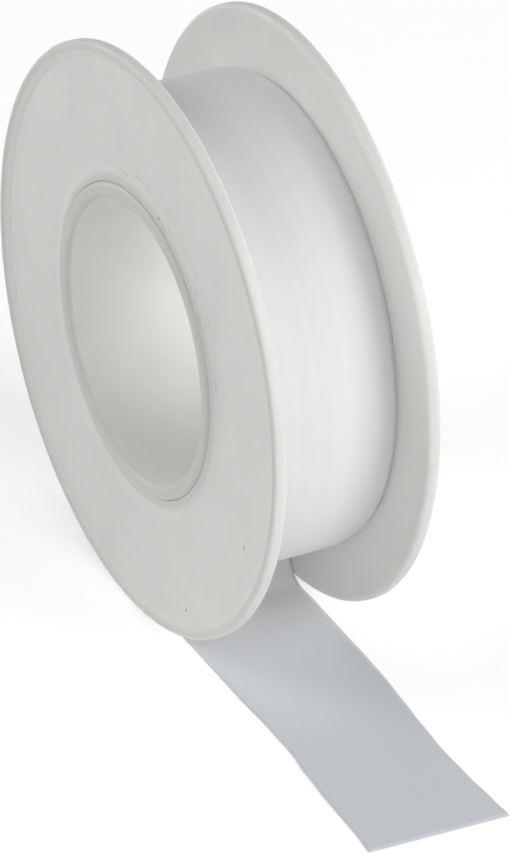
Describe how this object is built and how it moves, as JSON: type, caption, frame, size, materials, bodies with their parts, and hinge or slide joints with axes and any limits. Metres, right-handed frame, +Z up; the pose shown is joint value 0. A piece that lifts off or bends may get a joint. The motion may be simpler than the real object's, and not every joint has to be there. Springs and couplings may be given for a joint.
{
  "type": "thread seal tape roll",
  "caption": "Roll of thin white pipe thread sealing tape on a flanged plastic spool with a wide bore, standing on its rims with the free end of the tape laid out flat.",
  "frame": {"origin": "the middle of the bore, on the spool axis and halfway between the flanges", "axes": "+Y along the spool axis from the front flange to the rear flange, +X the way the free end of the tape runs, +Z up from the floor that the rims stand on"},
  "size_m": [0.0649, 0.0154, 0.049],
  "materials": {
    "flange_plastic": "satin moulded white",
    "tube_plastic": "satin moulded white",
    "tape_film": "soft waxy film"
  },
  "bodies": {
    "spool": {"front_flange": "flange_plastic", "rear_flange": "flange_plastic", "core_tube": "tube_plastic", "tape_turns": "tape_film"},
    "free_tape": {"tape_end": "tape_film"}
  },
  "joints": [
    {"name": "unwind", "type": "hinge", "parent": "spool", "child": "free_tape", "pos_m": [0, 0, 0], "axis": [0, 1, 0], "continuous": true}
  ]
}
